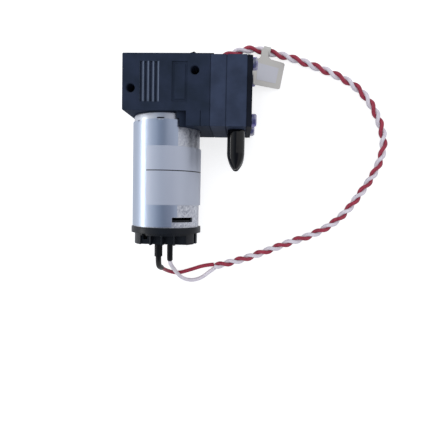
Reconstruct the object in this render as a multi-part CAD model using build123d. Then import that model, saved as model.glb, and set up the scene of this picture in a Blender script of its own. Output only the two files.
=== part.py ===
from build123d import *
import math
import os

# Small DC diaphragm vacuum pump. Millimetres, +Z up.
# It lies on its back face at Z 0. +X runs from the crank housing to the pump head, and the motor
# hangs off the housing towards -Y. The origin is the left mounting hole's axis at the back face.

# ---- driving dimensions ----
body_depth = 30.0
housing_width = 33.6
housing_height = 21.5
housing_edge = 0.4
hole_from_left = 3.2
hole_from_top = 13.1
hole_pitch_x = 24.6
hole_pitch_y = 6.8
hole_radius = 1.65
hole_chamfer = 0.3

foot_width = 9.0
head_height = 27.2
head_top_step = 0.35
foot_groove_inset = 3.3
foot_groove = 0.3
collar_wall = 1.7
collar_back_gap = 1.8
collar_reach_front = 3.7
collar_reach_back = 2.7

mid_thickness = 6.2
head_thickness = 7.9
cover_thickness = 1.95
cover_bevel = 0.9
plate_edge = 0.3

screw_inset_y = 2.9
screw_inset_z = 3.4
screw_radius = 1.45
screw_length = 20.0
screw_head_radius = 2.45
screw_head_height = 1.9
screw_clearance = 0.2
thread_clearance = 0.05
cross_width = 0.8
cross_depth = 1.1

motor_from_left = 15.1
can_radius = 13.5
can_wall = 0.9
can_length = 45.1
can_edge = 0.6
boss_radius = 4.5
boss_height = 2.0
collar_clearance = 0.3
shaft_radius = 1.5
running_clearance = 0.03
fit_clearance = 0.05
face_gap = 0.3

louvre_count = 4
louvre_pitch = 1.95
louvre_slope_width = 1.6
louvre_depth = 0.8
louvre_floor = 0.25
louvre_left = 6.7
louvre_top = 3.0
louvre_length = 15.2
panel_left = 19.1
panel_top = 3.1
panel_width = 5.9
panel_length = 15.0
panel_depth = 0.4
panel_border = 0.9

crank_from_top = 13.6
crank_throw = 1.2
crank_pin_radius = 3.4
crank_cavity_radius = 9.4
cavity_top_wall = 2.4
cavity_floor_wall = 3.0
cover_plate_thickness = 2.0
cover_plate_lip = 1.0
cover_plate_fit = 0.1
hub_radius = 5.5
hub_thickness = 2.7
bearing_outer_radius = 5.8
bearing_width = 3.5
bearing_ring = 0.7
ball_radius = 0.5
ball_count = 9
rod_ring = 1.4
rod_arm_height = 3.0
rod_arm_width = 4.0
passage_height = 10.0
passage_width = 15.0

diaphragm_radius = 12.0
diaphragm_thickness = 0.8
diaphragm_active_radius = 9.5
clamp_radius = 5.0
clamp_thickness = 1.2
rod_flange_thickness = 1.2
diaphragm_bead = 0.5
chamber_depth = 2.7
rod_screw_radius = 1.2
rod_screw_length = 6.0
rod_screw_head_radius = 2.2

nozzle_spacing = 12.0
nozzle_length = 12.3
nozzle_radius = 2.0
nozzle_barb = 0.3
nozzle_bore = 1.2
cap_length = 15.4
cap_radius = 3.5
cap_taper = 3.4
cap_tip_radius = 0.75
cap_shoulder = 9.0
cap_nose = 1.1
cap_seat_gap = 0.3

valve_radius = 3.2
valve_thickness = 0.5
valve_travel = 0.4
valve_seat_gap = 0.05
valve_side_clearance = 0.35
port_radius = 0.55
port_circle = 1.7
seal_section = 0.5
seal_radius = 4.4

ring_thickness = 0.5
ring_front_gap = 2.9
ring_back_gap = 0.4
ring_seam_start = 27.0
ring_seam_end = 153.0
label_thickness = 0.12
label_start = -25.0
label_end = 175.0
label_from_front = 13.1
label_length = 23.0
slot_start = 19.0
slot_end = 60.0
slot_from_back = 2.2
slot_height = 1.9
slit_start = -7.8
slit_end = 4.3
slit_from_front = 2.2
slit_height = 0.5

magnet_thickness = 2.2
magnet_length = 25.0
magnet_from_front = 5.5
magnet_half_angle = 62.0
air_gap = 0.4
core_length = 22.0
core_slots = 5
winding_overhang = 3.0
commutator_radius = 3.6
commutator_length = 5.0
commutator_wall = 0.9
commutator_gap = 2.0
motor_screw_radius = 1.0
motor_screw_head_radius = 1.6
motor_screw_head_height = 1.0
motor_screw_circle = 7.6
set_screw_radius = 0.8
brush_width = 2.4
brush_height = 3.0
brush_length = 4.0
spring_wire = 0.3
spring_radius = 0.8
spring_length = 1.8
bushing_radius = 3.0
bushing_length = 3.6

cap_rim_radius = 14.4
cap_rim_height = 2.4
cap_block_radius = 13.0
cap_block_height = 4.6
cap_wall = 1.6
cap_rib = 0.6
lug_slot_from_axis = 7.9
lug_slot_width = 1.6
lug_slot_height = 2.6
terminal_spacing = 4.7
terminal_off_axis_x = 0.4
terminal_off_axis_z = 6.6
terminal_width = 1.3
terminal_thickness = 0.5
terminal_reach = 0.7

wire_diameter = 1.7
pair_diameter = 2 * wire_diameter
sleeve_wall = 0.3
sleeve_joint_wall = 0.75
sleeve_joint_length = 5.0
red_sleeve_share = 0.68
white_sleeve_share = 0.26

connector_length = 12.0
connector_width = 5.6
connector_height = 5.0
connector_ramp = 0.7
ramp_start = 10.5
ramp_peak = 8.7
ramp_end = 7.8
contact_thickness = 0.4
contact_pitch = 2.5

tag_thickness = 0.4
tag_neck = 3.2
tag_slope = 0.47
tag_lift = 0.15
tag_corner = 0.8
paper_thickness = 0.06

# ---- places worked out from the sizes ----
left = -hole_from_left
top = hole_from_top
base = top - housing_height
head_base = top - head_height
mid_x = left + housing_width
head_x = mid_x + mid_thickness
cover_x = head_x + head_thickness
end_x = cover_x + cover_thickness
foot_x = mid_x - foot_width
plate_top = top - head_top_step
motor_x = left + motor_from_left
middle_z = body_depth / 2
can_back = base - can_length
ring_front = base - ring_front_gap
ring_back = can_back + ring_back_gap
ring_radius = can_radius + ring_thickness
crank_y = top - crank_from_top
cavity_top = top - cavity_top_wall
cavity_floor = base + cavity_floor_wall
bearing_front = crank_y + bearing_width / 2
bearing_back = crank_y - bearing_width / 2
hub_front = bearing_back - face_gap
hub_back = hub_front - hub_thickness
pin_x = motor_x - crank_throw
diaphragm_flat_x = mid_x - diaphragm_thickness
diaphragm_rest_x = diaphragm_flat_x - crank_throw
clamp_x = diaphragm_rest_x + diaphragm_thickness
rod_flange_x = diaphragm_rest_x - rod_flange_thickness
nozzle_x = head_x + head_thickness / 2
inlet_z = middle_z - nozzle_spacing / 2
outlet_z = middle_z + nozzle_spacing / 2
barb_radius = nozzle_radius + nozzle_barb
pocket_radius = valve_radius + valve_side_clearance
pocket_depth = valve_seat_gap + valve_thickness + valve_travel + 0.15
screw_places = [
    (y, z)
    for y in (plate_top - screw_inset_y + head_top_step, head_base + screw_inset_y)
    for z in (screw_inset_z, body_depth - screw_inset_z)
]
magnet_outer = can_radius - can_wall
magnet_inner = magnet_outer - magnet_thickness
core_radius = magnet_inner - air_gap
magnet_front = base - magnet_from_front
magnet_back = magnet_front - magnet_length
core_front = magnet_front - (magnet_length - core_length) / 2
core_back = core_front - core_length
winding_front = core_front + winding_overhang
winding_back = core_back - winding_overhang
commutator_front = winding_back - commutator_gap
commutator_back = commutator_front - commutator_length
rim_back = can_back - cap_rim_height
block_back = rim_back - cap_block_height
terminal_z = middle_z + terminal_off_axis_z
terminal_xs = {
    "red": motor_x + terminal_off_axis_x - terminal_spacing / 2,
    "white": motor_x + terminal_off_axis_x + terminal_spacing / 2,
}
wire_start = block_back - terminal_reach

# Routes of the leads, chosen by hand. Each starts on its terminal, in line with -Y.
red_route = [
    (terminal_xs["red"], wire_start, terminal_z),
    (terminal_xs["red"], -66.0, terminal_z),
    (9.3, -70.2, 17.4),
    (9.2, -72.3, 9.6),
    (10.8, -74.7, 3.6),
    (15.0, -76.1, 0.9),
    (20.8, -74.3, 0.9),
    (27.4, -71.9, 1.4),
    (31.49, -71.48, 1.7),
]
white_route = [
    (terminal_xs["white"], wire_start, terminal_z),
    (terminal_xs["white"], -65.6, terminal_z),
    (14.3, -68.9, 18.6),
    (14.6, -71.8, 12.0),
    (15.2, -75.0, 5.8),
    (17.6, -78.0, 3.4),
    (21.8, -79.2, 1.2),
    (25.8, -78.0, 0.95),
    (29.2, -75.2, 1.3),
    (31.91, -73.12, 1.7),
]
pair_route = [
    (31.7, -72.3, 1.7),
    (42.8, -69.5, 1.7),
    (54.3, -65.1, 1.7),
    (64.8, -60.8, 1.7),
    (75.8, -56.9, 1.7),
    (84.4, -51.9, 1.7),
    (90.8, -45.5, 1.7),
    (96.0, -37.9, 1.7),
    (101.4, -29.9, 1.7),
    (104.7, -21.7, 1.7),
    (105.4, -14.4, 1.7),
    (103.2, -6.7, 1.7),
    (99.4, 0.9, 1.7),
    (93.4, 7.9, 1.7),
    (85.4, 12.7, 1.7),
    (75.8, 16.5, 1.7),
    (65.8, 20.1, 1.9),
    (55.4, 22.6, 2.2),
    (46.2, 24.6, 2.2),
    (39.6, 22.9, 2.1),
    (34.6, 20.9, 2.4),
    (30.0, 18.9, 2.5),
]
connector_end = pair_route[-1]


# ---- shared shapes ----
def block(x0, x1, y0, y1, z0, z1):
    return Pos((x0 + x1) / 2, (y0 + y1) / 2, (z0 + z1) / 2) * Box(abs(x1 - x0), abs(y1 - y0), abs(z1 - z0))


def along_x(radius, x0, x1, y, z):
    return Pos((x0 + x1) / 2, y, z) * Rot(0, 90, 0) * Cylinder(radius, abs(x1 - x0))


def along_y(radius, y0, y1, x=motor_x, z=middle_z):
    return Pos(x, (y0 + y1) / 2, z) * Rot(90, 0, 0) * Cylinder(radius, abs(y1 - y0))


def along_z(radius, z0, z1, x, y):
    return Pos(x, y, (z0 + z1) / 2) * Cylinder(radius, abs(z1 - z0))


def slice_along_y(points, y0, y1):
    """A prism along Y; points are (x, z)."""
    face = make_face(Polyline(*[(x, y0, z) for x, z in points], close=True))
    return extrude(face, amount=abs(y1 - y0), dir=(0, math.copysign(1, y1 - y0), 0))


def about_motor(radius, angle):
    """(x, z) at an angle about the motor's axis, from +Z towards +X."""
    turn = math.radians(angle)
    return motor_x + radius * math.sin(turn), middle_z + radius * math.cos(turn)


def ring_sector(inner, outer, start, end, y0, y1):
    """Part of a ring about the motor's axis, from y0 back to y1."""
    def at(radius, angle):
        x, z = about_motor(radius, angle)
        return x, y0, z

    half = (start + end) / 2
    outline = [
        ThreePointArc(at(outer, start), at(outer, half), at(outer, end)),
        Line(at(outer, end), at(inner, end)),
        ThreePointArc(at(inner, end), at(inner, half), at(inner, start)),
        Line(at(inner, start), at(outer, start)),
    ]
    return extrude(make_face(outline), amount=abs(y1 - y0), dir=(0, math.copysign(1, y1 - y0), 0))


def turned_about_x(outline, y, z):
    """A solid turned about an axis along X; outline is (x, radius)."""
    face = make_face(Polyline(*[(x, y + r, z) for x, r in outline], close=True))
    return revolve(face, Axis((0, y, z), (1, 0, 0)), 360)


def turned_about_y(outline, x, z):
    """A solid turned about an axis along Y; outline is (radius, y)."""
    face = make_face(Polyline(*[(x + r, y, z) for r, y in outline], close=True))
    return revolve(face, Axis((x, 0, z), (0, 1, 0)), 360)


def cord_path(points):
    """Straight runs joined by tangent arcs, each as large as its two runs allow."""
    places = [Vector(*p) for p in points]
    runs = [b - a for a, b in zip(places, places[1:])]
    radii = [
        0.45 * min(a.length, b.length) / math.tan(math.radians(a.get_angle(b)) / 2)
        for a, b in zip(runs, runs[1:])
    ]
    return FilletPolyline(*places, radius=radii), radii


def tube(path, radius):
    start = Plane(origin=path @ 0, z_dir=path % 0)
    return sweep(start * Circle(radius), path=path)


def cross_recess(x, y, z):
    """A cross cut into a screw head that faces +X at x."""
    arm = 2.0 * cross_width
    return block(x - cross_depth, x, y - arm, y + arm, z - cross_width / 2, z + cross_width / 2) + block(
        x - cross_depth, x, y - cross_width / 2, y + cross_width / 2, z - arm, z + arm
    )


# ---- crank housing ----
def foot_and_collar():
    foot = block(foot_x, mid_x, head_base, base, 0, body_depth)
    upper = block(foot_x - collar_reach_front, foot_x, ring_front + face_gap, base, collar_back_gap, body_depth)
    lower = block(foot_x - collar_reach_back, foot_x, head_base, ring_front + face_gap, collar_back_gap, body_depth)
    collar = (upper + lower) & along_y(can_radius + collar_wall, head_base, base)
    groove_x = mid_x - foot_groove_inset
    groove = block(
        groove_x - foot_groove, groove_x, head_base, base, body_depth - foot_groove, body_depth
    )
    solid = foot + collar - groove
    solid -= along_y(can_radius + collar_clearance, head_base, base)
    ring_room = ring_sector(
        can_radius, ring_radius + collar_clearance, ring_seam_end - 2, 360 + ring_seam_start + 1,
        ring_front + face_gap, head_base,
    )
    return solid - ring_room


def louvres():
    cuts = []
    for i in range(louvre_count):
        x = left + louvre_left + i * louvre_pitch
        outline = [
            (x, body_depth + 1),
            (x, body_depth - louvre_depth),
            (x + louvre_floor, body_depth - louvre_depth),
            (x + louvre_slope_width, body_depth),
            (x + louvre_slope_width, body_depth + 1),
        ]
        y = top - louvre_top
        cuts.append(slice_along_y(outline, y, y - louvre_length))
    return cuts


def name_panel():
    """A bare sunk panel with a plain raised pad."""
    x, y = left + panel_left, top - panel_top
    sunk = block(x, x + panel_width, y - panel_length, y, body_depth - panel_depth, body_depth)
    pad = block(
        x + panel_border, x + panel_width - panel_border, y - panel_length + panel_border, y - panel_border,
        body_depth - panel_depth, body_depth - panel_depth / 2,
    )
    return sunk - pad


def pump_housing():
    main = block(left, mid_x, base, top, 0, body_depth)
    corners = main.edges().filter_by(Axis.Z).sort_by(Axis.X)[:2]
    main = fillet(corners, housing_edge)
    solid = main + foot_and_collar()
    solid -= along_y(crank_cavity_radius, cavity_floor, cavity_top)
    recess = crank_cavity_radius + cover_plate_lip
    solid -= along_y(recess, top - cover_plate_thickness, top)
    solid -= along_y(crank_cavity_radius - cover_plate_lip, cavity_top, top - cover_plate_thickness)
    solid -= along_y(boss_radius + fit_clearance, base, cavity_floor)
    solid -= block(
        motor_x, mid_x, crank_y - passage_height / 2, crank_y + passage_height / 2,
        middle_z - passage_width / 2, middle_z + passage_width / 2,
    )
    under_x = rod_flange_x - face_gap
    solid -= along_x(diaphragm_active_radius + face_gap, under_x, mid_x, crank_y, middle_z)
    solid -= along_x(diaphragm_radius + fit_clearance, diaphragm_flat_x, mid_x, crank_y, middle_z)
    for place in ((0, 0), (hole_pitch_x, hole_pitch_y)):
        solid -= along_z(hole_radius, 0, body_depth, *place)
        solid -= Pos(*place, body_depth - hole_chamfer / 2) * Cone(
            hole_radius, hole_radius + hole_chamfer, hole_chamfer
        )
    for y, z in screw_places:
        solid -= along_x(screw_radius + thread_clearance, end_x - screw_length - 0.3, mid_x, y, z)
    for side in (-1, 1):
        solid -= along_y(motor_screw_radius + thread_clearance, base, cavity_floor, *motor_screw_place(side))
    for cut in louvres():
        solid -= cut
    return solid - name_panel()


def motor_screw_place(side):
    return motor_x, middle_z + side * motor_screw_circle


def motor_screws():
    screws = []
    for side in (-1, 1):
        x, z = motor_screw_place(side)
        shank = along_y(motor_screw_radius, base - can_wall, cavity_floor, x, z)
        head = along_y(motor_screw_head_radius, cavity_floor, cavity_floor + motor_screw_head_height, x, z)
        slot = block(x - 2, x + 2, cavity_floor + 0.5, cavity_floor + 1.5, z - 0.2, z + 0.2)
        screws.append(shank + head - slot)
    return Compound(children=screws)


def crankcase_cover():
    """A round lid in the top of the housing, which the crank is fitted through."""
    lid = along_y(crank_cavity_radius + cover_plate_lip - cover_plate_fit, top - cover_plate_thickness, top)
    slot = block(motor_x - 4, motor_x + 4, top - 0.8, top, middle_z - 0.7, middle_z + 0.7)
    return lid - slot


# ---- crank, rod and diaphragm ----
def bearing_ring_solid(outer, inner):
    ring = along_y(outer, bearing_front, bearing_back, pin_x) - along_y(inner, bearing_front, bearing_back, pin_x)
    track = (crank_pin_radius + bearing_outer_radius) / 2
    groove = Pos(pin_x, crank_y, middle_z) * Rot(90, 0, 0) * Torus(track, ball_radius + fit_clearance)
    return ring - groove


def crank_bearing_inner():
    return bearing_ring_solid(crank_pin_radius + bearing_ring, crank_pin_radius)


def crank_bearing_outer():
    return bearing_ring_solid(bearing_outer_radius, bearing_outer_radius - bearing_ring)


def crank_bearing_balls():
    track = (crank_pin_radius + bearing_outer_radius) / 2
    balls = []
    for i in range(ball_count):
        turn = 2 * math.pi * i / ball_count
        place = Pos(pin_x + track * math.cos(turn), crank_y, middle_z + track * math.sin(turn))
        balls.append(place * Sphere(ball_radius))
    return Compound(children=balls)


def eccentric():
    """The hub on the motor's shaft, with the offset crank pin and a counterweight opposite it."""
    hub = along_y(hub_radius, hub_front, hub_back)
    pin = along_y(crank_pin_radius, bearing_front, hub_front, pin_x)
    relief = block(
        motor_x - hub_radius, motor_x - hub_radius / 2, hub_back, hub_back + hub_thickness / 2,
        middle_z - hub_radius, middle_z + hub_radius,
    )
    bore = along_y(shaft_radius, bearing_front, hub_back)
    return hub + pin - relief - bore - along_x(
        set_screw_radius, motor_x, motor_x + hub_radius, (hub_front + hub_back) / 2, middle_z
    )


def eccentric_set_screw():
    y = (hub_front + hub_back) / 2
    screw = along_x(set_screw_radius, motor_x + shaft_radius, motor_x + hub_radius - 0.2, y, middle_z)
    return screw - along_x(0.35, motor_x + hub_radius - 1.2, motor_x + hub_radius, y, middle_z)


def connecting_rod():
    ring = along_y(bearing_outer_radius + rod_ring, bearing_front, bearing_back, pin_x)
    arm = block(
        pin_x, rod_flange_x, crank_y - rod_arm_height / 2, crank_y + rod_arm_height / 2,
        middle_z - rod_arm_width / 2, middle_z + rod_arm_width / 2,
    )
    web = slice_along_y(
        [
            (pin_x, middle_z - bearing_outer_radius),
            (pin_x, middle_z + bearing_outer_radius),
            (rod_flange_x, middle_z + rod_arm_width / 2),
            (rod_flange_x, middle_z - rod_arm_width / 2),
        ],
        crank_y + 0.6, crank_y - 0.6,
    )
    flange = along_x(clamp_radius, rod_flange_x, diaphragm_rest_x, crank_y, middle_z)
    boss_x = diaphragm_rest_x - rod_screw_length - face_gap
    boss = along_x(rod_arm_height / 2 + 0.6, boss_x, rod_flange_x, crank_y, middle_z)
    solid = ring + arm + web + flange + boss
    solid -= along_y(bearing_outer_radius, bearing_front, bearing_back, pin_x)
    return solid - along_x(rod_screw_radius, diaphragm_rest_x - rod_screw_length, diaphragm_rest_x, crank_y, middle_z)


def diaphragm():
    """Moulded rubber disc: a clamped rim, a rolled working ring and a centre held by the clamp disc."""
    rest, flat, thick = diaphragm_rest_x, diaphragm_flat_x, diaphragm_thickness
    outline = [
        (rest, rod_screw_radius),
        (rest, clamp_radius),
        (rest + 0.25, clamp_radius + 1.2),
        (flat - 0.25, diaphragm_active_radius - 1.2),
        (flat, diaphragm_active_radius),
        (flat, diaphragm_radius),
        (flat + thick, diaphragm_radius),
        (flat + thick, diaphragm_active_radius - 0.2),
        (flat + thick - 0.25, diaphragm_active_radius - 1.4),
        (rest + thick + 0.25, clamp_radius + 1.0),
        (rest + thick, clamp_radius - 0.2),
        (rest + thick, rod_screw_radius),
    ]
    return turned_about_x(outline, crank_y, middle_z)


def clamp_disc():
    disc = along_x(clamp_radius - 0.4, clamp_x, clamp_x + clamp_thickness, crank_y, middle_z)
    seat = turned_about_x(
        [
            (clamp_x, 0),
            (clamp_x, rod_screw_radius),
            (clamp_x + clamp_thickness, rod_screw_head_radius),
            (clamp_x + clamp_thickness, 0),
        ],
        crank_y, middle_z,
    )
    return disc - seat


def rod_screw():
    """A countersunk screw that clamps the diaphragm between the disc and the rod."""
    outline = [
        (diaphragm_rest_x - rod_screw_length, 0),
        (diaphragm_rest_x - rod_screw_length, rod_screw_radius),
        (clamp_x, rod_screw_radius),
        (clamp_x + clamp_thickness, rod_screw_head_radius),
        (clamp_x + clamp_thickness, 0),
    ]
    slot = block(
        clamp_x + clamp_thickness - 0.5, clamp_x + clamp_thickness, crank_y - 0.3, crank_y + 0.3,
        middle_z - rod_screw_head_radius, middle_z + rod_screw_head_radius,
    )
    return turned_about_x(outline, crank_y, middle_z) - slot


# ---- pump head ----
def plate(x0, x1, bottom):
    """A head plate with its outer edges broken."""
    solid = block(x0, x1, bottom, plate_top, 0, body_depth)
    faces = [solid.faces().sort_by(Axis.X)[i] for i in (0, -1)]
    return chamfer([e for f in faces for e in f.edges()], plate_edge)


def ring_of_ports(x0, x1, z, circle):
    ports = []
    for i in range(4):
        turn = math.pi / 4 + i * math.pi / 2
        ports.append(
            along_x(port_radius, x0, x1, crank_y + circle * math.cos(turn), z + circle * math.sin(turn))
        )
    return ports


def intermediate_plate():
    solid = plate(mid_x, head_x, head_base)
    roof = mid_x + chamber_depth
    chamber = [
        (mid_x, 0),
        (mid_x, diaphragm_active_radius - 0.3),
        (roof, diaphragm_active_radius - 1.5),
        (roof, 0),
    ]
    solid -= turned_about_x(chamber, crank_y, middle_z)
    for port in ring_of_ports(roof, head_x, outlet_z, port_circle):
        solid -= port
    pocket = head_x - pocket_depth
    solid -= along_x(pocket_radius, pocket, head_x, crank_y, inlet_z)
    for port in ring_of_ports(roof, pocket, inlet_z, port_circle):
        solid -= port
    for y, z in screw_places:
        solid -= along_x(screw_radius + screw_clearance, mid_x, head_x, y, z)
    for z in (inlet_z, outlet_z):
        solid -= seal_groove(z)
    return solid


def seal_groove(z):
    """The half groove on the intermediate plate's outer face."""
    return Pos(head_x, crank_y, z) * Rot(0, 90, 0) * Torus(seal_radius, seal_section + fit_clearance)


def valve_seals():
    return Compound(children=[
        Pos(head_x, crank_y, z) * Rot(0, 90, 0) * Torus(seal_radius, seal_section) for z in (inlet_z, outlet_z)
    ])


def valve_disc(x0, z):
    disc = along_x(valve_radius, x0, x0 + valve_thickness, crank_y, z)
    return disc


def intake_valve():
    return valve_disc(head_x - valve_seat_gap - valve_thickness, inlet_z)


def discharge_valve():
    return valve_disc(head_x + valve_seat_gap, outlet_z)


def nozzle_outline():
    tip = head_base - nozzle_length
    half = head_base - nozzle_length / 2
    return [
        (0, head_base + 0.5),
        (nozzle_radius, head_base + 0.5),
        (nozzle_radius, half + 0.4),
        (barb_radius, half),
        (nozzle_radius, half - 2.4),
        (nozzle_radius, tip + 3.2),
        (barb_radius, tip + 2.8),
        (nozzle_radius - 0.4, tip),
        (0, tip),
    ]


def head_plate():
    """Holds the valve chambers, the air channels and both hose nozzles."""
    solid = plate(head_x, cover_x, head_base)
    tip = head_base - nozzle_length
    for z in (inlet_z, outlet_z):
        solid += turned_about_y(nozzle_outline(), nozzle_x, z)
        solid -= along_y(nozzle_bore, tip, crank_y, nozzle_x, z)
        solid -= seal_groove(z)
    solid -= along_x(pocket_radius, head_x, head_x + pocket_depth, crank_y, outlet_z)
    solid -= along_x(nozzle_bore, head_x, nozzle_x, crank_y, outlet_z)
    plenum = head_x + 1.4
    solid -= along_x(port_circle + port_radius + 0.2, plenum, nozzle_x, crank_y, inlet_z)
    for port in ring_of_ports(head_x, plenum, inlet_z, port_circle):
        solid -= port
    for y, z in screw_places:
        solid -= along_x(screw_radius + screw_clearance, head_x, cover_x, y, z)
    return solid


def end_cover():
    """The clamping plate under the screw heads, bevelled on its front and back."""
    outline = [
        (cover_x, 0),
        (cover_x, body_depth),
        (end_x, body_depth - cover_bevel),
        (end_x, cover_bevel),
    ]
    solid = slice_along_y(outline, plate_top, head_base)
    for y, z in screw_places:
        solid -= along_x(screw_radius + screw_clearance, cover_x, end_x, y, z)
    return solid


def head_screws():
    """Four pan-head cross-recess screws through the head into the housing."""
    screws = []
    crown = end_x + screw_head_height
    for y, z in screw_places:
        shank = along_x(screw_radius, end_x - screw_length, end_x, y, z)
        head = along_x(screw_head_radius, end_x, crown, y, z)
        rim = head.faces().sort_by(Axis.X)[-1].edges()
        head = fillet(rim, screw_head_height * 0.4)
        screws.append(shank + head - cross_recess(crown, y, z))
    return Compound(children=screws)


def nozzle_cap(z):
    """A dipped vinyl cap pushed over a hose nozzle."""
    mouth = head_base - cap_seat_gap
    tip, shoulder = mouth - cap_length, mouth - cap_length + cap_taper
    outline = [(0, mouth), (cap_radius, mouth), (cap_radius, shoulder), (cap_tip_radius, tip), (0, tip)]
    solid = turned_about_y(outline, nozzle_x, z)
    solid = fillet(solid.faces().sort_by(Axis.Y)[0].edges(), cap_nose)
    solid = fillet(solid.edges().filter_by(GeomType.CIRCLE).filter_by_position(Axis.Y, shoulder - 0.01, shoulder + 0.01), cap_shoulder)
    floor = head_base - nozzle_length - face_gap
    return solid - along_y(barb_radius + fit_clearance, mouth, floor, nozzle_x, z)


# ---- motor ----
def motor_can():
    """Deep-drawn steel can with a bearing boss on its front and a slot near its back."""
    body = along_y(can_radius, base, can_back)
    body = fillet(body.faces().sort_by(Axis.Y)[-1].edges(), can_edge)
    body += along_y(boss_radius, base, base + boss_height)
    body -= along_y(magnet_outer, base - can_wall, can_back)
    body -= along_y(bushing_radius, base + boss_height, base - can_wall)
    for side in (-1, 1):
        body -= along_y(motor_screw_radius + thread_clearance, base, base - can_wall, *motor_screw_place(side))
    slot_back = can_back + slot_from_back
    slot = ring_sector(magnet_outer - 1, can_radius + 1, slot_start, slot_end, slot_back + slot_height, slot_back)
    slit_front = base - slit_from_front
    slit = ring_sector(magnet_outer - 1, can_radius + 1, slit_start, slit_end, slit_front, slit_front - slit_height)
    return body - slot - slit


def flux_ring():
    """Open steel ring rolled round the can. Its front edge has small pry notches."""
    ring = ring_sector(
        can_radius, ring_radius, ring_seam_end, 360 + ring_seam_start, ring_front, ring_back
    )
    for angle, half in ((-2, 5.5), (-41, 5.0), (-130, 5.0)):
        ring -= ring_sector(
            can_radius - 1, ring_radius + 1, angle - half, angle + half, ring_front + 0.1, ring_front - 0.5
        )
    slot_top = can_back + slot_from_back + slot_height + 0.2
    return ring - ring_sector(
        can_radius - 1, ring_radius + 1, slot_start - 1, ring_seam_start + 2, slot_top, ring_back - 0.1
    )


def rating_label():
    """A foil label wrapped round the ring and across its opening, left bare."""
    front = base - label_from_front
    return ring_sector(
        ring_radius, ring_radius + label_thickness, label_start, label_end, front, front - label_length
    )


def magnet(side):
    middle = 90 + 180 * side
    return ring_sector(
        magnet_inner, magnet_outer, middle - magnet_half_angle, middle + magnet_half_angle,
        magnet_front, magnet_back,
    )


def bushing(y0, y1):
    return along_y(bushing_radius, y0, y1) - along_y(shaft_radius + running_clearance, y0, y1)


def front_bushing():
    return bushing(base + boss_height, base + boss_height - bushing_length)


def rear_bushing():
    return bushing(rim_back, rim_back - bushing_length)


def motor_shaft():
    return along_y(shaft_radius, bearing_front + 0.4, rim_back - bushing_length + 0.2)


def rotor_core():
    core = along_y(core_radius, core_front, core_back) - along_y(shaft_radius, core_front, core_back)
    for i in range(core_slots):
        core -= core_slot(i, core_front, core_back)
    return core


def core_slot(index, y0, y1):
    """One winding slot: a narrow mouth and a wide bottom."""
    middle = 360 / core_slots * index
    bottom = ring_sector(core_radius * 0.45, core_radius * 0.85, middle - 24, middle + 24, y0, y1)
    mouth = ring_sector(core_radius * 0.8, core_radius + 1, middle - 5, middle + 5, y0, y1)
    return bottom + mouth


def rotor_winding():
    """Copper coils: bars in the slots, joined by end turns at both faces of the core."""
    inner, outer = core_radius * 0.47, core_radius * 0.83
    wind = along_y(outer, winding_front, winding_back) - along_y(inner, winding_front, winding_back)
    pitch = 360 / core_slots
    for i in range(core_slots):
        middle = pitch * i
        wind -= ring_sector(inner - 1, outer + 1, middle + 22, middle + pitch - 22, core_front, core_back)
    return wind


def commutator_hub():
    hub = along_y(commutator_radius - commutator_wall, winding_back, commutator_back)
    return hub - along_y(shaft_radius, winding_back, commutator_back)


def commutator():
    segments = []
    for i in range(core_slots):
        middle = 360 / core_slots * i
        segments.append(ring_sector(
            commutator_radius - commutator_wall, commutator_radius, middle - 33, middle + 33,
            commutator_front, commutator_back,
        ))
    return Compound(children=segments)


brush_y = (commutator_front + commutator_back) / 2


def brushes():
    pair = []
    for side in (-1, 1):
        near = motor_x + side * (commutator_radius + running_clearance)
        far = near + side * brush_length
        pair.append(block(
            near, far, brush_y - brush_height / 2, brush_y + brush_height / 2,
            middle_z - brush_width / 2, middle_z + brush_width / 2,
        ))
    return Compound(children=pair)


def brush_springs():
    springs = []
    start = commutator_radius + running_clearance + brush_length + spring_wire
    for side in (-1, 1):
        coil = Helix(spring_length / 4, spring_length, spring_radius)
        wire = sweep(Plane(origin=coil @ 0, z_dir=coil % 0) * Circle(spring_wire / 2), path=coil)
        springs.append(Pos(motor_x + side * start, brush_y, middle_z) * Rot(0, side * 90, 0) * wire)
    return Compound(children=springs)


def brush_tube(side):
    """A plastic guide round one brush and its spring, closed at its outer end."""
    near = motor_x + side * (commutator_radius + 0.8)
    end = motor_x + side * (commutator_radius + running_clearance + brush_length + spring_length + 3 * spring_wire)
    wall, room = 0.8, fit_clearance
    high, wide = brush_height / 2 + room, brush_width / 2 + room
    outer = block(near, end + side * wall, brush_y - high - wall, brush_y + high + wall,
                  middle_z - wide - wall, middle_z + wide + wall)
    return outer - block(near, end, brush_y - high, brush_y + high, middle_z - wide, middle_z + wide)


def brush_cap():
    """The motor's moulded end cap, with the bearing seat, brush guides and terminal bay."""
    rim = along_y(cap_rim_radius, can_back, rim_back)
    plug = along_y(magnet_outer - fit_clearance, can_back, can_back + 3.0)
    plug -= along_y(magnet_outer - fit_clearance - cap_wall, can_back, can_back + 3.0)
    body = along_y(cap_block_radius, rim_back, block_back)
    solid = rim + plug + body
    solid -= along_y(bushing_radius + 2.0, can_back, rim_back + 0.8)
    solid -= along_y(bushing_radius, can_back, rim_back - bushing_length)
    for side in (-1, 1):
        solid += brush_tube(side)
        near = motor_x + side * (commutator_radius + 0.8)
        post_end = near + side * 3.0
        solid += block(
            near, post_end, can_back, brush_y - brush_height / 2 - fit_clearance,
            middle_z - 1.6, middle_z + 1.6,
        )
    solid -= terminal_bay()
    return solid - cap_side_cuts()


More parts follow.
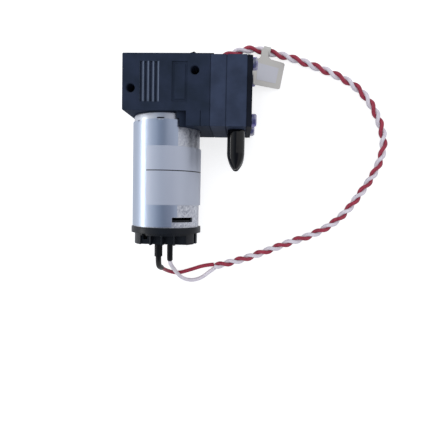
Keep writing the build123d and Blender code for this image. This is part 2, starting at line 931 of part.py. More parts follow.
def terminal_bay():
    """Open bay round the two terminals, with a rib left between and beside them."""
    cuts = None
    pitch = terminal_spacing
    for index in (-1, 0, 1, 2):
        x = terminal_xs["red"] + (index - 0.5) * pitch + pitch / 2
        room = block(
            x - pitch / 2 + cap_rib / 2, x + pitch / 2 - cap_rib / 2, rim_back - 0.9, block_back,
            terminal_z + 1.6, body_depth,
        )
        cuts = room if cuts is None else cuts + room
    for x in terminal_xs.values():
        cuts += block(
            x - terminal_width / 2, x + terminal_width / 2, can_back, block_back,
            terminal_z - terminal_thickness / 2, terminal_z + terminal_thickness / 2,
        )
    return cuts


def cap_side_cuts():
    """Notches that leave the lower block as separate lugs round the edge."""
    cuts = None
    for angle in (75, 105, 200, 232):
        x, z = about_motor(cap_block_radius, angle)
        notch = Pos(x, (rim_back + block_back) / 2, z) * Rot(0, angle, 0) * Box(2.2, cap_block_height, 3.4)
        cuts = notch if cuts is None else cuts + notch
    slot_x = motor_x - lug_slot_from_axis
    return cuts + block(
        slot_x, slot_x + lug_slot_width, rim_back - lug_slot_height, rim_back, 0, body_depth
    )


def terminals():
    tabs = []
    for x in terminal_xs.values():
        tabs.append(block(
            x - terminal_width / 2, x + terminal_width / 2, can_back + 1.5, wire_start,
            terminal_z - terminal_thickness / 2, terminal_z + terminal_thickness / 2,
        ))
    return Compound(children=tabs)


# ---- leads ----
def lead(route, diameter):
    path, radii = cord_path(route)
    solid = tube(path, diameter / 2)
    share = solid.volume / (math.pi * diameter ** 2 / 4 * path.length)
    print(f"cord {diameter:.1f} mm: length {path.length:.1f}, tightest {min(radii):.1f}, volume share {share:.4f}")
    return solid


def sleeve(route, reach, joint_wall):
    """Shrunk tubing from the end cap over the soldered joint and the first bend of a lead."""
    path, _ = cord_path(route[:5])
    x, y, z = route[0]
    outer = tube(path.trim(0, reach), wire_diameter / 2 + sleeve_wall)
    joint = along_y(wire_diameter / 2 + joint_wall, block_back, block_back - sleeve_joint_length, x, z)
    room = wire_diameter / 2 + fit_clearance
    return outer + joint - along_y(room, block_back, y, x, z) - tube(path, room)


def lead_connector():
    """A two-way crimp housing with a locking ramp on its side."""
    x, y, z = connector_end
    half = connector_width / 2
    solid = block(x - connector_length, x, y - half, y + half, 0, connector_height)
    solid = chamfer(solid.edges().filter_by(Axis.X), 0.3)
    ramp = [
        (x - ramp_start, y + half), (x - ramp_peak, y + half + connector_ramp), (x - ramp_end, y + half),
    ]
    face = make_face(Polyline(*[(a, b, 0.4) for a, b in ramp], close=True))
    solid += extrude(face, amount=connector_height - 0.8, dir=(0, 0, 1))
    for side in (-1, 1):
        way = y + side * contact_pitch / 2
        solid -= block(
            x - connector_length, x - 2.5, way - 0.85, way + 0.85, z - 1.1, z + 1.1
        )
    return solid


def connector_contacts():
    """The two crimped contacts, folded boxes open at the mating end."""
    x, y, z = connector_end
    contacts = []
    for side in (-1, 1):
        way = y + side * contact_pitch / 2
        outer = block(x - connector_length + 0.6, x - 2.5, way - 0.75, way + 0.75, z - 1.0, z + 1.0)
        inner = block(
            x - connector_length + 0.6, x - 5.0, way - 0.75 + contact_thickness / 2,
            way + 0.75 - contact_thickness / 2, z - 1.0 + contact_thickness / 2, z + 1.0 - contact_thickness / 2,
        )
        contacts.append(outer - inner)
    return Compound(children=contacts)


tag_outline = [(47.1, 7.8), (59.0, 7.2), (61.1, 18.7), (55.3, 19.4), (49.6, 19.4), (47.1, 17.6)]
tag_neck_outline = [(49.6, 19.0), (55.3, 19.0), (53.4, 20.6), (53.2, 23.4), (50.7, 23.4), (50.4, 20.6)]
paper_outline = [(48.5, 10.0), (57.0, 9.4), (58.3, 16.2), (48.8, 17.2)]
tag_share = 0.876
tag_normal = Vector(tag_slope, 0, 1).normalized()


def on_tag(places, lift):
    """A face in the flag's plane, which slopes up from the table onto a screw's head."""
    right = tag_outline[2][0]
    points = [Vector(x, y, tag_lift + (right - x) * tag_slope) + tag_normal * lift for x, y in places]
    return make_face(Polyline(*points, close=True))


def wire_tag():
    """A flag marker: its neck wraps round the pair, and its flag leans on a head screw."""
    flag = extrude(on_tag(tag_outline, 0), amount=tag_thickness, dir=tag_normal)
    flag = fillet(flag.edges().filter_by(Axis((0, 0, 0), tag_normal)), tag_corner)
    neck = extrude(on_tag(tag_neck_outline, 0), amount=tag_thickness, dir=tag_normal)
    inner = pair_diameter / 2 + fit_clearance
    outer = inner + tag_thickness
    ring = Cylinder(outer, tag_neck) - Cylinder(inner, tag_neck)
    path, _ = cord_path(pair_route)
    ring = Plane(origin=path @ tag_share, z_dir=path % tag_share) * ring
    return flag + neck + ring


def tag_paper():
    """The blank paper insert on the flag."""
    return extrude(on_tag(paper_outline, tag_thickness), amount=paper_thickness, dir=tag_normal)


def solids():
    return {
        "pump_housing": pump_housing(),
        "crankcase_cover": crankcase_cover(),
        "motor_screws": motor_screws(),
        "eccentric": eccentric(),
        "eccentric_set_screw": eccentric_set_screw(),
        "crank_bearing_inner": crank_bearing_inner(),
        "crank_bearing_balls": crank_bearing_balls(),
        "crank_bearing_outer": crank_bearing_outer(),
        "connecting_rod": connecting_rod(),
        "diaphragm": diaphragm(),
        "clamp_disc": clamp_disc(),
        "rod_screw": rod_screw(),
        "intermediate_plate": intermediate_plate(),
        "valve_seals": valve_seals(),
        "intake_valve": intake_valve(),
        "discharge_valve": discharge_valve(),
        "head_plate": head_plate(),
        "end_cover": end_cover(),
        "head_screws": head_screws(),
        "inlet_cap": nozzle_cap(inlet_z),
        "outlet_cap": nozzle_cap(outlet_z),
        "motor_can": motor_can(),
        "flux_ring": flux_ring(),
        "rating_label": rating_label(),
        "magnet_left": magnet(1),
        "magnet_right": magnet(0),
        "front_bushing": front_bushing(),
        "rear_bushing": rear_bushing(),
        "motor_shaft": motor_shaft(),
        "rotor_core": rotor_core(),
        "rotor_winding": rotor_winding(),
        "commutator_hub": commutator_hub(),
        "commutator": commutator(),
        "brushes": brushes(),
        "brush_springs": brush_springs(),
        "brush_cap": brush_cap(),
        "terminals": terminals(),
        "red_sleeve": sleeve(red_route, red_sleeve_share, sleeve_joint_wall),
        "white_sleeve": sleeve(white_route, white_sleeve_share, sleeve_wall),
        "red_lead": lead(red_route, wire_diameter),
        "white_lead": lead(white_route, wire_diameter),
        "lead_pair": lead(pair_route, pair_diameter),
        "lead_connector": lead_connector(),
        "connector_contacts": connector_contacts(),
        "wire_tag": wire_tag(),
        "tag_paper": tag_paper(),
    }


os.makedirs("parts", exist_ok=True)
for name, solid in solids().items():
    export_step(solid, f"parts/{name}.step")
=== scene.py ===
import math

import bpy
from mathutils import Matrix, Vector


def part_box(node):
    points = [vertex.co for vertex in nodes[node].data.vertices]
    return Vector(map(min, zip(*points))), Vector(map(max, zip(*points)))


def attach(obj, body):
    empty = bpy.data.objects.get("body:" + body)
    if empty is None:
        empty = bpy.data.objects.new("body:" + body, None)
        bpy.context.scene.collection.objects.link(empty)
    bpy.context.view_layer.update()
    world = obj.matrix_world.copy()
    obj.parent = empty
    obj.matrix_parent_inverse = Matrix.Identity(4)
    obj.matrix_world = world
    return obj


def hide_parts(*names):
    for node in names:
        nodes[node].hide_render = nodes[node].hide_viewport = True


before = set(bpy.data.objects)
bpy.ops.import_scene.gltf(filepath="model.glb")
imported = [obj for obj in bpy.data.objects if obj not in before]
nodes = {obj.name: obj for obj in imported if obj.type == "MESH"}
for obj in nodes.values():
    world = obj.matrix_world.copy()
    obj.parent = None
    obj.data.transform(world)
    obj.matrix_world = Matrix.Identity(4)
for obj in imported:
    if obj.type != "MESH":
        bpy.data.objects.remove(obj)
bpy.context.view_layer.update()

# The view. The pump lies on its back on a table, and a camera held by hand looks almost straight
# down at it from about twenty centimetres.
camera_place = (0.04246, -0.04138, 0.19007)
camera_turn = (-0.0513, 0.0463, 0.0200)
bpy.ops.object.camera_add(location=camera_place, rotation=camera_turn)
camera = bpy.context.object
camera.data.sensor_width = 36
camera.data.lens = 34.23
camera.data.clip_start = 0.01
bpy.context.scene.camera = camera


# What the finishes are made with. An owner is a material or the world, and a source is another
# node's output. Textures lie in the object's own frame, so their scales count cells in a metre.
def linear(code, alpha=1.0):
    """An sRGB hex colour as the linear values that a shader takes."""
    parts = [int(code[i:i + 2], 16) / 255 for i in (1, 3, 5)]
    return [c / 12.92 if c <= 0.04045 else ((c + 0.055) / 1.055) ** 2.4 for c in parts] + [alpha]


def new_material(name, colour, metallic=0.0, roughness=0.5):
    """A material with its shader node, to which each section adds what the real finish shows."""
    material = bpy.data.materials.new(name)
    material.use_nodes = True
    shader = material.node_tree.nodes["Principled BSDF"]
    shader.inputs["Base Color"].default_value = linear(colour)
    shader.inputs["Metallic"].default_value = metallic
    shader.inputs["Roughness"].default_value = roughness
    return material, shader


def add_node(owner, kind, inputs=None, **settings):
    """One node: settings are its own properties, inputs are values or sources."""
    node = owner.node_tree.nodes.new(kind)
    for name, value in settings.items():
        setattr(node, name, value)
    for name, value in (inputs or {}).items():
        if isinstance(value, bpy.types.NodeSocket):
            owner.node_tree.links.new(value, node.inputs[name])
        else:
            node.inputs[name].default_value = value
    return node


def plug_in(material, shader, **sources):
    """Links sources to the shader's sockets."""
    for name, source in sources.items():
        material.node_tree.links.new(source, shader.inputs[name.replace("_", " ")])


def dress(material, *names):
    """Gives CAD nodes their finish."""
    for name in names:
        nodes[name].data.materials.clear()
        nodes[name].data.materials.append(material)


def object_place(material):
    """Where a point lies in the object's own frame."""
    return add_node(material, "ShaderNodeTexCoord").outputs["Object"]


def axes(owner, place):
    """The three coordinates of a place or a direction."""
    return add_node(owner, "ShaderNodeSeparateXYZ", {"Vector": place}).outputs


def noise(material, scale, detail):
    """Cloudy noise."""
    return add_node(material, "ShaderNodeTexNoise", {
        "Vector": object_place(material), "Scale": scale, "Detail": detail,
    }).outputs["Fac"]


def bands(material, scale, distortion, direction):
    """Even bands, one after another along one axis."""
    return add_node(material, "ShaderNodeTexWave", {
        "Vector": object_place(material), "Scale": scale, "Distortion": distortion,
    }, wave_type="BANDS", bands_direction=direction).outputs["Fac"]


def cells(material, scale):
    """The outputs of a texture of irregular cells."""
    return add_node(material, "ShaderNodeTexVoronoi", {
        "Vector": object_place(material), "Scale": scale,
    }).outputs


def calculate(owner, operation, *values, **settings):
    """What a sum gives: each value is a number or a source."""
    node = add_node(owner, "ShaderNodeMath", dict(enumerate(values)), operation=operation, **settings)
    return node.outputs[0]


def spread(owner, source, **ends):
    """A source moved from one range to another: from_min, from_max, to_min and to_max."""
    inputs = {name.replace("_", " ").title(): value for name, value in ends.items()}
    return add_node(owner, "ShaderNodeMapRange", {"Value": source, **inputs}).outputs["Result"]


def mix(owner, factor, first, second):
    """A colour between two others."""
    return add_node(owner, "ShaderNodeMixRGB", {
        "Fac": factor, "Color1": first, "Color2": second,
    }).outputs["Color"]


def shades(material, source, low, high, low_at=0.35, high_at=0.65):
    """A source as a run of colour from one hex colour to another."""
    ramp = add_node(material, "ShaderNodeValToRGB", {"Fac": source})
    for stop, position, colour in zip(ramp.color_ramp.elements, (low_at, high_at), (low, high)):
        stop.position, stop.color = position, linear(colour)
    return ramp.outputs["Color"]


def relief(material, height, depth, **inputs):
    """A fine surface relief of this depth."""
    return add_node(material, "ShaderNodeBump", {
        "Height": height, "Distance": depth, **inputs,
    }).outputs["Normal"]


def rounded_edges(material, radius):
    """Edges that catch the light as if they had this radius."""
    return add_node(material, "ShaderNodeBevel", {"Radius": radius}, samples=4).outputs["Normal"]


def moulded(name, low, high, roughness, grain_mm, depth_mm, edge_mm, shine=0.04):
    """A moulded plastic: a faint cloudiness, the mould's fine grain, and slightly rounded edges."""
    material, shader = new_material(name, high, roughness=roughness)
    cloud = noise(material, 160.0, 4.0)
    grain = noise(material, 1000 / grain_mm, 2.0)
    surface = relief(material, grain, depth_mm / 1000, Strength=0.5,
                     Normal=rounded_edges(material, edge_mm / 1000))
    worn = spread(material, cloud, to_min=roughness - 0.06, to_max=roughness + 0.08)
    shader.inputs["Specular IOR Level"].default_value = shine
    plug_in(material, shader, Base_Color=shades(material, cloud, low, high), Normal=surface, Roughness=worn)
    return material


# The crank housing and its round front cover. Both are moulded in glass-filled nylon, coloured
# black with a blue cast, and the mould's fine spark texture gives them a soft satin face.
housing_nylon = moulded("glass_filled_nylon", "#252D3B", "#2C3446",
                        roughness=0.6, grain_mm=0.35, depth_mm=0.03, edge_mm=0.35)

# The slopes of the four louvres get a painted highlight for the light they catch: their colour is painted
# lighter towards the housing's face and stays the housing's own deeper in. They are found by a box round
# # the louvres' middle, and by how near a point is to the housing's face.
louvre_from_left, louvre_from_top, louvre_below_face = 0.0104, 0.0106, 0.00041
louvre_reaches = {"X": 0.0039, "Y": 0.0078, "Z": 0.0004}
slope_starts_below, slope_ends_above, painted_light_strength = 0.0002, 0.0003, 0.9
low_corner, high_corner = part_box("pump_housing")
louvre_middle = {
    "X": low_corner[0] + louvre_from_left,
    "Y": high_corner[1] - louvre_from_top,
    "Z": high_corner[2] - louvre_below_face,
}
shader = housing_nylon.node_tree.nodes["Principled BSDF"]
plain = shader.inputs["Base Color"].links[0].from_socket
place = axes(housing_nylon, object_place(housing_nylon))
painted_slope_light = spread(housing_nylon, place["Z"], from_min=louvre_middle["Z"] - slope_starts_below,
               from_max=louvre_middle["Z"] + slope_ends_above, to_max=painted_light_strength)
for axis, reach in louvre_reaches.items():
    inside = calculate(housing_nylon, "COMPARE", place[axis], louvre_middle[axis], reach)
    painted_slope_light = calculate(housing_nylon, "MULTIPLY", painted_slope_light, inside)
# The painted highlight: the housing's colour is mixed towards a light grey-blue on the louvre slopes.
plug_in(housing_nylon, shader, Base_Color=mix(housing_nylon, painted_slope_light, plain, linear("#6C7689")))
dress(housing_nylon, "pump_housing", "crankcase_cover")

# The crank inside: an alloy hub on the motor's shaft with a set screw, a ball bearing on its
# offset pin, and the moulded rod that drives the diaphragm.
turned_alloy, shader = new_material("turned_alloy", "#B9BABD", 1.0, 0.32)
plug_in(turned_alloy, shader, Normal=relief(turned_alloy, noise(turned_alloy, 900.0, 3.0), 0.00002))
dress(turned_alloy, "eccentric")

ground_steel, shader = new_material("ground_steel", "#B4B6BB", 1.0, 0.22)
scratches = noise(ground_steel, 1400.0, 2.0)
plug_in(ground_steel, shader, Roughness=spread(ground_steel, scratches, to_min=0.14, to_max=0.32))
dress(ground_steel, "eccentric_set_screw", "crank_bearing_inner", "crank_bearing_balls",
      "crank_bearing_outer", "clamp_disc", "motor_shaft")

rod_acetal = moulded("natural_acetal", "#CFCBBE", "#DAD7CC",
                     roughness=0.35, grain_mm=0.5, depth_mm=0.01, edge_mm=0.2)
dress(rod_acetal, "connecting_rod")

# The elastomer parts: the diaphragm, the two valve discs and their sealing rings, all pressed in
# black rubber with a dusty satin skin.
rubber, shader = new_material("pressed_rubber", "#17181A", roughness=0.62)
dust = noise(rubber, 700.0, 4.0)
plug_in(rubber, shader, Roughness=spread(rubber, dust, to_min=0.52, to_max=0.72),
        Normal=relief(rubber, dust, 0.00003))
dress(rubber, "diaphragm", "valve_seals", "intake_valve", "discharge_valve")

# The pump head: two moulded plates in a lighter grey-blue plastic than the housing's, and a
# darker cover, stacked behind the four screws.
head_plastic = moulded("grey_head_plastic", "#323A4C", "#3A4358",
                       roughness=0.55, grain_mm=0.3, depth_mm=0.02, edge_mm=0.3)
dress(head_plastic, "intermediate_plate", "head_plate")
cover_plastic = moulded("black_cover_plastic", "#171A22", "#1D212B",
                        roughness=0.55, grain_mm=0.35, depth_mm=0.03, edge_mm=0.3)
dress(cover_plastic, "end_cover")

# The screws: zinc-plated steel with a clear blue passivation, which gives the bright heads a
# violet tint.
zinc_plate, shader = new_material("blue_zinc_plate", "#A6A6C2", 1.0, 0.24)
film = noise(zinc_plate, 500.0, 3.0)
plug_in(zinc_plate, shader, Base_Color=shades(zinc_plate, film, "#6C66AA", "#AEAEBA", high_at=0.6),
        Normal=rounded_edges(zinc_plate, 0.0003))
dress(zinc_plate, "head_screws", "motor_screws", "rod_screw")

# The two protective caps on the nozzles: black vinyl, dipped on a mandrel, so their skin is as
# glossy as wet paint.
vinyl, shader = new_material("dipped_vinyl", "#020203", roughness=0.07)
plug_in(vinyl, shader, Normal=relief(vinyl, noise(vinyl, 260.0, 1.0), 0.00012, Strength=0.6))
shader.inputs["Specular IOR Level"].default_value = 0.38
dress(vinyl, "inlet_cap", "outlet_cap")

# The motor's can: galvanised steel, deep drawn. The zinc froze in crystals about two thirds of a
# millimetre across, and each reflects a little differently. Near the front, past drawn_from, the
# drawing die has rubbed them smooth.
drawn_from, drawn_by = -0.0118, -0.0108
smooth_level = (0.6, 0.6, 0.6, 1)
galvanised, shader = new_material("galvanised_steel", "#A9ABB4", 1.0, 0.42)
crystals = cells(galvanised, 1500.0)["Color"]
rough_zinc = spread(galvanised, axes(galvanised, object_place(galvanised))["Y"],
                    from_min=drawn_from, from_max=drawn_by, to_min=1.0, to_max=0.0)
level = mix(galvanised, rough_zinc, smooth_level, crystals)
plug_in(galvanised, shader,
        Base_Color=shades(galvanised, level, "#B0B4C0", "#E0E3EA", 0.15, 0.85),
        Roughness=spread(galvanised, level, to_min=0.26, to_max=0.5),
        Normal=relief(galvanised, noise(galvanised, 1500.0, 3.0), 0.00003, Strength=rough_zinc))
dress(galvanised, "motor_can")

# The flux ring: a bright plated steel strip bent round the can into a C, with its smooth rolled
# face outwards. The rolling left faint streaks along the motor.
streak_scale = (900.0, 40.0, 900.0)
plated, shader = new_material("bright_plated_strip", "#B4BFD2", 1.0, 0.2)
along = add_node(plated, "ShaderNodeMapping", {"Vector": object_place(plated), "Scale": streak_scale})
rolling = add_node(plated, "ShaderNodeTexNoise", {
    "Vector": along.outputs["Vector"], "Scale": 1.0, "Detail": 3.0,
})
plug_in(plated, shader, Roughness=spread(plated, rolling.outputs["Fac"], to_min=0.3, to_max=0.38))
dress(plated, "flux_ring")

# The rating label: silver foil with a satin face. It carries one printed rule and is otherwise
# left bare.
rule_y, rule_width = -0.0310, 0.0004
foil_colour, ink_colour, foil_metal = "#BEC4D2", "#23252C", 0.6
foil, shader = new_material("silver_label_foil", foil_colour, foil_metal, 0.4)
rule = calculate(foil, "COMPARE", axes(foil, object_place(foil))["Y"], rule_y, rule_width / 2)
plug_in(foil, shader, Base_Color=mix(foil, rule, linear(foil_colour), linear(ink_colour)),
        Metallic=spread(foil, rule, to_min=foil_metal, to_max=0.0),
        Normal=relief(foil, noise(foil, 800.0, 3.0), 0.00001))
dress(foil, "rating_label")

# Inside the motor: ferrite magnets, sintered bronze bushings, the stacked core with its enamelled
# copper winding, and the commutator with its carbon brushes and their springs.
ferrite, shader = new_material("sintered_ferrite", "#2B2B2E", 0.1, 0.55)
plug_in(ferrite, shader, Normal=relief(ferrite, noise(ferrite, 1200.0, 4.0), 0.00004))
dress(ferrite, "magnet_left", "magnet_right")

bronze, shader = new_material("sintered_bronze", "#A57C4B", 1.0, 0.48)
plug_in(bronze, shader, Normal=relief(bronze, cells(bronze, 2500.0)["Distance"], 0.00004))
dress(bronze, "front_bushing", "rear_bushing")

laminated, shader = new_material("laminated_steel", "#7F8186", 1.0, 0.4)
plug_in(laminated, shader, Normal=relief(laminated, bands(laminated, 318.0, 0.0, "Y"), 0.00006))
dress(laminated, "rotor_core")

enamel, shader = new_material("enamelled_copper_wire", "#9A4A24", 0.7, 0.25)
plug_in(enamel, shader, Normal=relief(enamel, bands(enamel, 640.0, 0.6, "X"), 0.0001))
dress(enamel, "rotor_winding")

copper, shader = new_material("turned_copper", "#C27B52", 1.0, 0.3)
track = bands(copper, 700.0, 1.0, "Y")
plug_in(copper, shader, Roughness=spread(copper, track, to_min=0.22, to_max=0.4))
dress(copper, "commutator")

carbon, shader = new_material("pressed_carbon", "#1B1B1D", 0.2, 0.5)
specks = noise(carbon, 2500.0, 3.0)
plug_in(carbon, shader, Roughness=spread(carbon, specks, to_min=0.35, to_max=0.65))
dress(carbon, "brushes")

drawn_wire, shader = new_material("drawn_spring_wire", "#A7A8AB", 1.0, 0.3)
lines = noise(drawn_wire, 3000.0, 2.0)
plug_in(drawn_wire, shader, Roughness=spread(drawn_wire, lines, to_min=0.22, to_max=0.4))
dress(drawn_wire, "brush_springs")

# The motor's end cap: moulded black plastic with ribs and lugs at its rim, tinned brass terminals,
# and the commutator's hub of the same plastic.
end_plastic = moulded("black_end_cap_plastic", "#0A0E14", "#10151D",
                      roughness=0.36, grain_mm=0.3, depth_mm=0.02, edge_mm=0.25, shine=0.3)
dress(end_plastic, "brush_cap", "commutator_hub")

tinned, shader = new_material("tinned_brass", "#C9BE9B", 1.0, 0.3)
stain = noise(tinned, 700.0, 3.0)
plug_in(tinned, shader, Base_Color=shades(tinned, stain, "#C2B179", "#D4D2CA", 0.4, 0.6))
dress(tinned, "terminals", "connector_contacts")

# The sleeves over the two soldered joints: black tubing shrunk on with hot air, so it follows what
# is under it and wrinkles faintly.
shrunk, shader = new_material("shrunk_tubing", "#07080B", roughness=0.42)
plug_in(shrunk, shader, Normal=relief(shrunk, noise(shrunk, 500.0, 2.0), 0.0002, Strength=0.6))
shader.inputs["Specular IOR Level"].default_value = 0.2
dress(shrunk, "red_sleeve", "white_sleeve")

# The leads: two flexible wires of 1.7 mm, one red and one white, in soft extruded PVC with a
# slight shine. They leave the end cap, curve down to the table and meet.
wire_diameter = 0.0017


def insulation(name, low, high):
    """Extruded PVC: even colour with faint blotches and a satin shine."""
    material, shader = new_material(name, high, roughness=0.34)
    plug_in(material, shader, Base_Color=shades(material, noise(material, 350.0, 2.0), low, high))
    return material


red_pvc = insulation("red_wire_insulation", "#96283E", "#A8344A")
white_pvc = insulation("white_wire_insulation", "#DDD5DE", "#EAE3EA")


def wire_line(name, points_mm):
    """A smooth line with these control points, in millimetres in the pump's frame."""
    curve = bpy.data.curves.new(name, "CURVE")
    curve.dimensions = "3D"
    spline = curve.splines.new("NURBS")
    spline.points.add(len(points_mm) - 1)
    for point, place in zip(spline.points, points_mm):
        point.co = (*(c / 1000 for c in place), 1)
    spline.order_u = 3
    spline.use_endpoint_u = True
    curve.resolution_u = 24
    return curve


def wire_along(curve, name, material, fineness):
    """A wire's round body along a line."""
    curve.bevel_depth = wire_diameter / 2
    curve.bevel_resolution = fineness
    curve.use_fill_caps = True
    curve.materials.append(material)
    wire = bpy.data.objects.new(name, curve)
    bpy.context.scene.collection.objects.link(wire)
    return wire


red_wire = wire_along(wire_line("red_wire", [
    (9.95, -61.2, 21.6), (9.95, -66, 21.6), (9.3, -70.2, 17.4), (9.2, -72.3, 9.6), (10.8, -74.7, 3.6),
    (15, -76.1, 0.9), (20.8, -74.3, 0.9), (27.4, -71.9, 1.4), (31.49, -71.48, 1.7),
]), "red_wire", red_pvc, 6)
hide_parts("red_lead")
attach(red_wire, "pump_body")

white_wire = wire_along(wire_line("white_wire", [
    (14.65, -61.2, 21.6), (14.65, -65.6, 21.6), (14.3, -68.9, 18.6), (14.6, -71.8, 12), (15.2, -75, 5.8),
    (17.6, -78, 3.4), (21.8, -79.2, 1.2), (25.8, -78, 0.95), (29.2, -75.2, 1.3), (31.91, -73.12, 1.7),
]), "white_wire", white_pvc, 6)
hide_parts("white_lead")
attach(white_wire, "pump_body")

# The pair: from where they meet the two wires are twisted together by hand, a turn every 9.2 mm
# and then a little slacker, and sweep round in one loose loop on the table to the connector
# behind the pump.
tight_pitch, slack_pitch, slackens = 0.00922, 0.01004, 0.12
first_turn = -1.74
pair_line = wire_line("pair_line", [
    (31.7, -72.3, 1.7), (42.8, -69.5, 1.7), (54.3, -65.1, 1.7), (64.8, -60.8, 1.7), (75.8, -56.9, 1.7),
    (84.4, -51.9, 1.7), (90.8, -45.5, 1.7), (96.0, -37.9, 1.7), (101.4, -29.9, 1.7), (104.7, -21.7, 1.7),
    (105.4, -14.4, 1.7), (103.2, -6.7, 1.7), (99.4, 0.9, 1.7), (93.4, 7.9, 1.7), (85.4, 12.7, 1.7),
    (75.8, 16.5, 1.7), (65.8, 20.1, 1.9), (55.4, 22.6, 2.2), (46.2, 24.6, 2.2), (39.6, 22.9, 2.1),
    (34.6, 20.9, 2.4), (30.0, 18.9, 2.5),
])
guide = bpy.data.objects.new("pair_guide", pair_line)
guide_mesh = bpy.data.meshes.new_from_object(guide)
pair_path = [v.co.copy() for v in guide_mesh.vertices]
bpy.data.objects.remove(guide)
bpy.data.meshes.remove(guide_mesh)


def twisted_strand(name, turn, material):
    """One strand of the pair: it winds round the line at half a wire's width."""
    places, run = [], 0.0
    for i, here in enumerate(pair_path):
        ahead, behind = pair_path[min(i + 1, len(pair_path) - 1)], pair_path[max(i - 1, 0)]
        run += (here - behind).length
        forward = (ahead - behind).normalized()
        across = Vector((0, 0, 1)).cross(forward).normalized()
        up = forward.cross(across)
        turns = min(run, slackens) / tight_pitch + max(run - slackens, 0) / slack_pitch
        angle = turn + 2 * math.pi * turns
        places.append(here + wire_diameter / 2 * (math.cos(angle) * across + math.sin(angle) * up))
    curve = bpy.data.curves.new(name, "CURVE")
    curve.dimensions = "3D"
    spline = curve.splines.new("POLY")
    spline.points.add(len(places) - 1)
    for point, place in zip(spline.points, places):
        point.co = (*place, 1)
    return wire_along(curve, name, material, 3)


bpy.ops.object.select_all(action="DESELECT")
strands = [
    twisted_strand("red_strand", first_turn, red_pvc),
    twisted_strand("white_strand", first_turn + math.pi, white_pvc),
]
for strand in strands:
    strand.select_set(True)
bpy.context.view_layer.objects.active = strands[0]
bpy.ops.object.convert(target="MESH")
bpy.ops.object.join()
twisted_pair = bpy.context.object
twisted_pair.name = "twisted_pair"
bpy.ops.object.shade_smooth()
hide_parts("lead_pair")
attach(twisted_pair, "pump_body")

# The connector: a two-way crimp housing in black nylon, with a small locking ramp.
nylon = moulded("black_connector_nylon", "#101216", "#16191E",
                roughness=0.5, grain_mm=0.3, depth_mm=0.02, edge_mm=0.15)
dress(nylon, "lead_connector")

# The flag marker: film that has gone a little grey, folded round the pair, with a blank paper
# slip on it.
film, shader = new_material("marker_film", "#C9C6C0", roughness=0.3)
haze = noise(film, 220.0, 3.0)
plug_in(film, shader, Roughness=spread(film, haze, to_min=0.22, to_max=0.4))
dress(film, "wire_tag")
paper, shader = new_material("plain_paper", "#CDCDD3", roughness=0.8)
plug_in(paper, shader, Normal=relief(paper, noise(paper, 1500.0, 4.0), 0.00002))
dress(paper, "tag_paper")

# The table: a plain white sheet that runs past the view, a hair below the pump. What the camera
# sees of it is lifted to white while it keeps the pump's shadow, and what shiny parts mirror of
# it is lifted less.
seen_lift, mirrored_lift = 0.72, 0.3
bpy.ops.mesh.primitive_plane_add(size=3, location=(0.04, -0.03, -0.00002))
table = bpy.context.object
table.name = "table"
sheet, shader = new_material("white_table", "#C4C4C4", roughness=0.9)
path = add_node(sheet, "ShaderNodeLightPath").outputs
mirrored = calculate(sheet, "ADD", path["Is Glossy Ray"], path["Is Transmission Ray"], use_clamp=True)
mirrored = calculate(sheet, "MULTIPLY", mirrored, mirrored_lift)
lift = calculate(sheet, "MULTIPLY_ADD", path["Is Camera Ray"], seen_lift, mirrored)
glow = add_node(sheet, "ShaderNodeEmission", {"Color": (1, 1, 1, 1), "Strength": lift})
both = add_node(sheet, "ShaderNodeAddShader", {0: shader.outputs[0], 1: glow.outputs[0]})
sheet.node_tree.links.new(both.outputs[0], sheet.node_tree.nodes["Material Output"].inputs["Surface"])
table.data.materials.append(sheet)

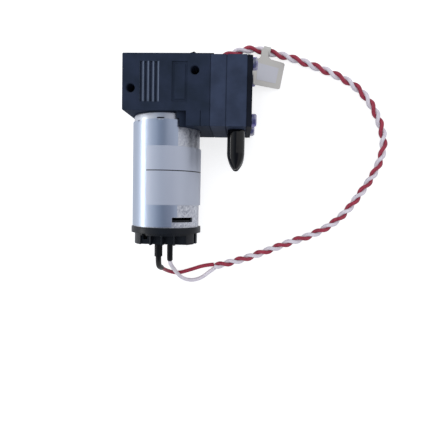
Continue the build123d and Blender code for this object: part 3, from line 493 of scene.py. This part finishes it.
# The room: a pale wall on the left, and a dark patch overhead where someone leans in with the
# camera. Its tones run over the pump from the left, at 0, to the right, at 1. The ceiling is paler
# behind the pump on the right. The camera itself sees plain white past the table's edge.
room_tones = [
    (0.0, (0.98, 0.99, 1.0)), (0.155, (0.96, 0.97, 1.0)), (0.22, (0.74, 0.76, 0.80)),
    (0.28, (0.66, 0.70, 0.76)), (0.335, (0.53, 0.58, 0.66)), (0.39, (0.36, 0.41, 0.49)),
    (0.5, (0.19, 0.22, 0.28)), (0.65, (0.19, 0.20, 0.27)), (0.72, (0.48, 0.49, 0.54)),
    (0.78, (0.73, 0.73, 0.76)), (0.85, (0.62, 0.62, 0.65)), (1.0, (0.42, 0.43, 0.46)),
]
ceiling_tone, ceiling_strength = (0.86, 0.87, 0.9, 1), 0.85
world = bpy.data.worlds.new("room")
bpy.context.scene.world = world
world.use_nodes = True
way = axes(world, add_node(world, "ShaderNodeTexCoord").outputs["Generated"])
height = calculate(world, "MAXIMUM", way["Z"], 0.0)
round_y = calculate(world, "ARCTAN2", way["X"], height)
turn = spread(world, round_y, from_min=-math.pi / 2, from_max=math.pi / 2)
room = add_node(world, "ShaderNodeValToRGB", {"Fac": turn})
for step, (position, tone) in enumerate(room_tones):
    stop = room.color_ramp.elements[step] if step < 2 else room.color_ramp.elements.new(position)
    stop.position, stop.color = position, (*tone, 1)
behind_pump = spread(world, way["Y"], from_min=0.04, from_max=0.12)
to_the_right = spread(world, way["X"], from_min=0.04, from_max=0.14)
ceiling = calculate(world, "MULTIPLY", behind_pump, to_the_right)
ceiling = calculate(world, "MULTIPLY", ceiling, ceiling_strength)
tone = mix(world, ceiling, room.outputs["Color"], ceiling_tone)
seen = add_node(world, "ShaderNodeLightPath").outputs["Is Camera Ray"]
beyond = mix(world, seen, tone, (1, 1, 1, 1))
world.node_tree.links.new(beyond, world.node_tree.nodes["Background"].inputs["Color"])

# The lamps: a soft one on the ceiling, which nothing mirrors, and a long narrow window low on the
# left, turned to the pump.
bpy.ops.object.light_add(type="AREA", location=(0.0, 0.0, 0.8))
lamp = bpy.context.object
lamp.name = "ceiling_lamp"
lamp.data.size = 0.8
lamp.data.energy = 2.5
lamp.visible_glossy = False
bpy.ops.object.light_add(type="AREA", location=(-0.7, -0.02, 0.2))
window = bpy.context.object
window.name = "window"
window.data.shape = "RECTANGLE"
window.data.size, window.data.size_y = 0.6, 0.06
window.data.energy = 1.0
lit_spot = Vector((0.03, -0.03, 0.0))
window.rotation_euler = (lit_spot - window.location).to_track_quat("-Z", "Y").to_euler()
bpy.context.scene.view_settings.view_transform = "Standard"
